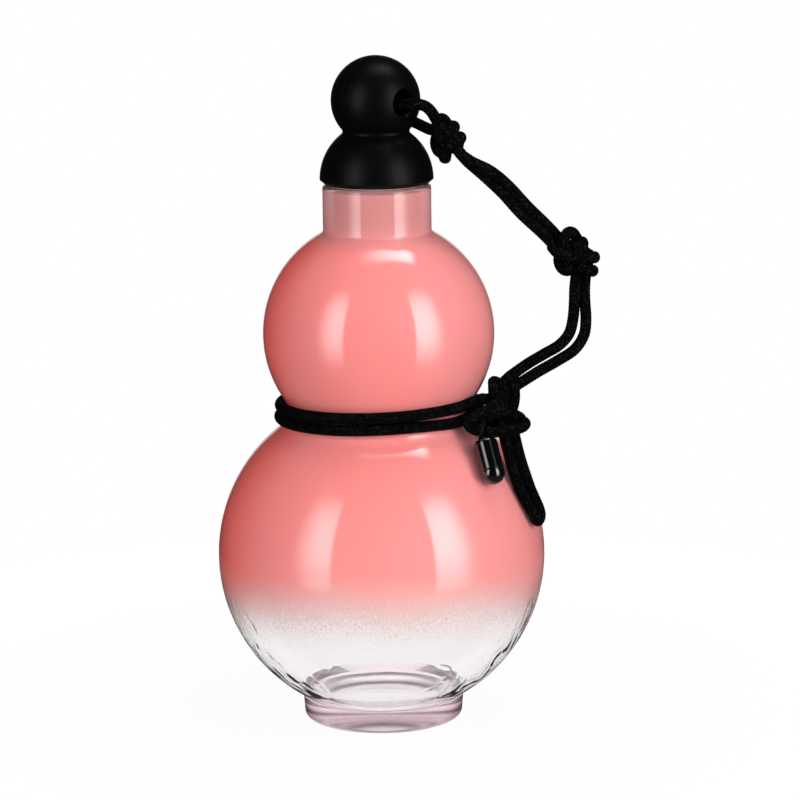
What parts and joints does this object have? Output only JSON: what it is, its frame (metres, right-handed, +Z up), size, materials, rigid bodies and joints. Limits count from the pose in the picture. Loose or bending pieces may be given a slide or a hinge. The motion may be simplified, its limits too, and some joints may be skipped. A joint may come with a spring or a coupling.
{
  "type": "gourd water bottle",
  "caption": "Gourd-shaped glass water bottle with a push-in ball cap, seal rings, and a knotted carrying cord with a toggle.",
  "frame": {"origin": "centre of the foot ring on the table", "axes": "+Z up along the bottle's axis, +X towards the side where the carrying cord hangs"},
  "size_m": [0.1401, 0.119, 0.242],
  "materials": {
    "sprayed_glass": "clear glass, sprayed coral from the neck down and fading out above the base",
    "cap_plastic": "satin black moulding",
    "plug_plastic": "natural white moulding",
    "silicone": "translucent white silicone",
    "braided_cord": "round braided polyester",
    "toggle_plastic": "polished black"
  },
  "bodies": {
    "bottle": {"bottle": "sprayed_glass", "upper_strand_a": "braided_cord", "upper_strand_b": "braided_cord", "elbow_knot": "braided_cord", "lower_strand_inner": "braided_cord", "lower_strand_outer": "braided_cord", "waist_knot": "braided_cord", "waist_winding": "braided_cord", "hitch_loop": "braided_cord", "tail_loop": "braided_cord"},
    "gasket": {"rim_gasket": "silicone"},
    "cap": {"cap_shell": "cap_plastic", "stopper_plug": "plug_plastic", "seal_ring_upper": "silicone", "seal_ring_lower": "silicone", "cap_loop": "braided_cord", "cap_knot": "braided_cord"},
    "toggle": {"toggle_cord": "braided_cord", "toggle_barrel": "toggle_plastic", "toggle_plug": "toggle_plastic"}
  },
  "joints": [
    {"name": "cap_lift", "type": "slide", "parent": "bottle", "child": "gasket", "axis": [0, 0, 1], "range_m": [0, 0.025]},
    {"name": "cap_turn", "type": "hinge", "parent": "gasket", "child": "cap", "pos_m": [0, 0, 0.196], "axis": [0, 0, 1], "range_deg": [-30, 30]},
    {"name": "toggle_swing", "type": "hinge", "parent": "bottle", "child": "toggle", "pos_m": [0.0362, -0.027, 0.1109], "axis": [-0.9719, 0.1369, 0.1916], "range_deg": [0, 60]}
  ]
}
